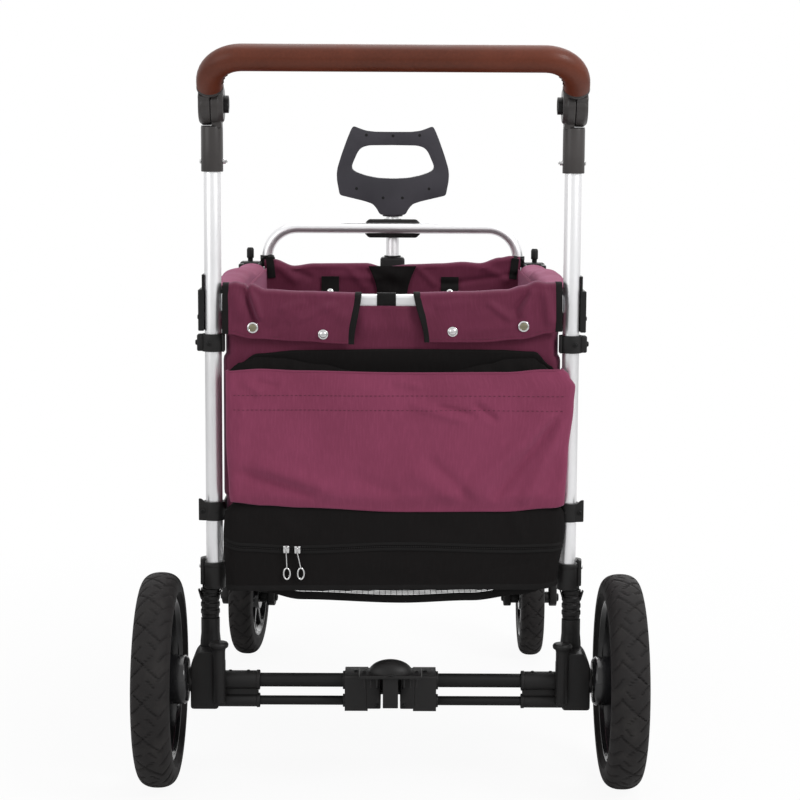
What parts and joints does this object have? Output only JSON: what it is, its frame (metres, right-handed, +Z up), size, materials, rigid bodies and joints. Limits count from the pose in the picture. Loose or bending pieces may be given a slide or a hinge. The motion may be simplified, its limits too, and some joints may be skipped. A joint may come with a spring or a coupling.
{
  "type": "folding wagon",
  "caption": "Folding fabric-tub wagon with a tilting push handle, telescopic pull handle, large rear wheels and swivel casters at the front.",
  "frame": {"origin": "on the floor under the middle of the wagon's box", "axes": "+X to the right seen from behind the push handle, +Y forward towards the pull handle, +Z up"},
  "size_m": [0.664, 0.9381, 0.9768],
  "materials": {
    "silver_tube": "satin anodised",
    "black_plastic": "moulded, fine grain",
    "grip_plastic": "moulded, satin",
    "black_steel": "powder coat",
    "sleeve_plastic": "satin",
    "leather": "glossy, stitched",
    "tyre_rubber": "treaded rubber",
    "rim_plastic": "gloss",
    "maroon_fabric": "woven",
    "black_fabric": "woven and mesh",
    "board": "fabric-covered board"
  },
  "bodies": {
    "rear_frame": {"rear_upright_left": "silver_tube", "rear_upright_right": "silver_tube", "rear_crossbar": "silver_tube", "upper_clamp_left": "black_plastic", "upper_clamp_right": "black_plastic", "lower_clamp_left": "black_plastic", "lower_clamp_right": "black_plastic", "rail_bracket_left": "black_steel", "rail_bracket_right": "black_steel", "handle_sleeve_left": "sleeve_plastic", "handle_sleeve_right": "sleeve_plastic", "leg_socket_left": "black_plastic", "leg_socket_right": "black_plastic", "axle_bracket_left": "black_plastic", "axle_bracket_right": "black_plastic", "axle_tube": "black_steel", "brake_housing": "black_plastic", "rear_wall": "maroon_fabric", "rear_pocket": "maroon_fabric", "side_wall_left": "maroon_fabric", "side_wall_right": "maroon_fabric", "storage_pouch": "black_fabric"},
    "handle": {"handle_bar": "leather", "knuckle_left": "black_plastic", "knuckle_right": "black_plastic"},
    "button_left": {"handle_button_left": "black_plastic"},
    "button_right": {"handle_button_right": "black_plastic"},
    "brake_pedal": {"brake_pedal": "black_plastic"},
    "brake_rod_left": {"brake_rod_left": "black_steel"},
    "brake_rod_right": {"brake_rod_right": "black_steel"},
    "axle_latch_left": {"axle_latch_left": "black_plastic"},
    "axle_latch_right": {"axle_latch_right": "black_plastic"},
    "rear_wheel_left": {"rear_tyre_left": "tyre_rubber", "rear_rim_left": "rim_plastic"},
    "rear_wheel_right": {"rear_tyre_right": "tyre_rubber", "rear_rim_right": "rim_plastic"},
    "floor_rear": {"floor_frame_rear": "black_steel", "floor_board_rear": "board"},
    "floor_front": {"floor_frame_front": "black_steel", "floor_board_front": "board"},
    "front_frame": {"front_upright_left": "silver_tube", "front_upright_right": "silver_tube", "front_crossbar": "silver_tube", "u_bar": "silver_tube", "pull_clip": "black_plastic", "corner_block_left": "black_plastic", "corner_block_right": "black_plastic", "front_lower_bar": "black_steel", "front_wall": "maroon_fabric"},
    "top_rear": {"top_rail_rear_left": "black_steel", "top_rail_rear_right": "black_steel"},
    "top_front": {"top_rail_front_left": "black_steel", "top_rail_front_right": "black_steel"},
    "caster_left": {"caster_fork_left": "black_plastic"},
    "caster_right": {"caster_fork_right": "black_plastic"},
    "front_wheel_left": {"front_wheel_left": "tyre_rubber"},
    "front_wheel_right": {"front_wheel_right": "tyre_rubber"},
    "pull_handle": {"pull_outer_tube": "black_steel"},
    "pull_extension": {"pull_inner_tube": "silver_tube", "pull_grip": "grip_plastic"}
  },
  "joints": [
    {"name": "fold", "type": "hinge", "parent": "rear_frame", "child": "floor_rear", "pos_m": [0, -0.2913, 0.372], "axis": [1, 0, 0], "range_deg": [0, 70], "deforming": ["side_wall_left", "side_wall_right", "storage_pouch"]},
    {"name": "fold_knee", "type": "hinge", "parent": "floor_rear", "child": "floor_front", "pos_m": [0, 0.0407, 0.36], "axis": [1, 0, 0], "range_deg": [-140, 0]},
    {"name": "fold_front", "type": "hinge", "parent": "floor_front", "child": "front_frame", "pos_m": [0, 0.3727, 0.372], "axis": [1, 0, 0], "range_deg": [0, 70]},
    {"name": "rail_rear_pivot", "type": "hinge", "parent": "rear_frame", "child": "top_rear", "pos_m": [0, -0.2913, 0.642], "axis": [1, 0, 0], "range_deg": [-70, 0]},
    {"name": "rail_front_pivot", "type": "hinge", "parent": "front_frame", "child": "top_front", "pos_m": [0, 0.3727, 0.642], "axis": [1, 0, 0], "range_deg": [0, 70]},
    {"name": "handle_tilt", "type": "hinge", "parent": "rear_frame", "child": "handle", "pos_m": [0, -0.3263, 0.9023], "axis": [1, 0, 0], "range_deg": [-105, 60]},
    {"name": "button_left_press", "type": "slide", "parent": "rear_frame", "child": "button_left", "axis": [-1, 0, 0], "range_m": [0, 0.004], "stiffness_N_per_m": 600, "springref_m": -0.003},
    {"name": "button_right_press", "type": "slide", "parent": "rear_frame", "child": "button_right", "axis": [1, 0, 0], "range_m": [0, 0.004], "stiffness_N_per_m": 600, "springref_m": -0.003},
    {"name": "brake", "type": "hinge", "parent": "rear_frame", "child": "brake_pedal", "pos_m": [0, -0.3483, 0.132], "axis": [1, 0, 0], "range_deg": [0, 25]},
    {"name": "brake_rod_left_slide", "type": "slide", "parent": "rear_frame", "child": "brake_rod_left", "axis": [-1, 0, 0], "range_m": [0, 0.0041]},
    {"name": "brake_rod_right_slide", "type": "slide", "parent": "rear_frame", "child": "brake_rod_right", "axis": [1, 0, 0], "range_m": [0, 0.0041]},
    {"name": "axle_latch_left_lift", "type": "slide", "parent": "rear_frame", "child": "axle_latch_left", "axis": [0, 0, 1], "range_m": [0, 0.006], "stiffness_N_per_m": 500, "springref_m": -0.004},
    {"name": "axle_latch_right_lift", "type": "slide", "parent": "rear_frame", "child": "axle_latch_right", "axis": [0, 0, 1], "range_m": [0, 0.006], "stiffness_N_per_m": 500, "springref_m": -0.004},
    {"name": "rear_wheel_left_spin", "type": "hinge", "parent": "rear_frame", "child": "rear_wheel_left", "pos_m": [-0.307, -0.3263, 0.1424], "axis": [1, 0, 0], "continuous": true},
    {"name": "rear_wheel_right_spin", "type": "hinge", "parent": "rear_frame", "child": "rear_wheel_right", "pos_m": [0.307, -0.3263, 0.1424], "axis": [1, 0, 0], "continuous": true},
    {"name": "caster_left_swivel", "type": "hinge", "parent": "front_frame", "child": "caster_left", "pos_m": [-0.2335, 0.4077, 0.2], "axis": [0, 0, 1], "continuous": true},
    {"name": "caster_right_swivel", "type": "hinge", "parent": "front_frame", "child": "caster_right", "pos_m": [0.2335, 0.4077, 0.2], "axis": [0, 0, 1], "continuous": true},
    {"name": "front_wheel_left_spin", "type": "hinge", "parent": "caster_left", "child": "front_wheel_left", "pos_m": [-0.23777, 0.37296, 0.096], "axis": [0.9925, -0.1219, 0], "continuous": true},
    {"name": "front_wheel_right_spin", "type": "hinge", "parent": "caster_right", "child": "front_wheel_right", "pos_m": [0.2335, 0.3727, 0.096], "axis": [1, 0, 0], "continuous": true},
    {"name": "pull_handle_drop", "type": "hinge", "parent": "front_frame", "child": "pull_handle", "pos_m": [0, 0.4298, 0.3], "axis": [1, 0, 0], "range_deg": [-100, 0]},
    {"name": "pull_handle_extend", "type": "slide", "parent": "pull_handle", "child": "pull_extension", "axis": [0, 0, 1], "range_m": [0, 0.25]}
  ],
  "couplings": [
    {"joint": "fold_knee", "follows": "fold", "ratio": -2},
    {"joint": "fold_front", "follows": "fold", "ratio": 1},
    {"joint": "rail_rear_pivot", "follows": "fold", "ratio": -1},
    {"joint": "rail_front_pivot", "follows": "fold", "ratio": 1},
    {"joint": "brake_rod_left_slide", "follows": "brake", "m_per_rad": 0.0092},
    {"joint": "brake_rod_right_slide", "follows": "brake", "m_per_rad": 0.0092}
  ]
}
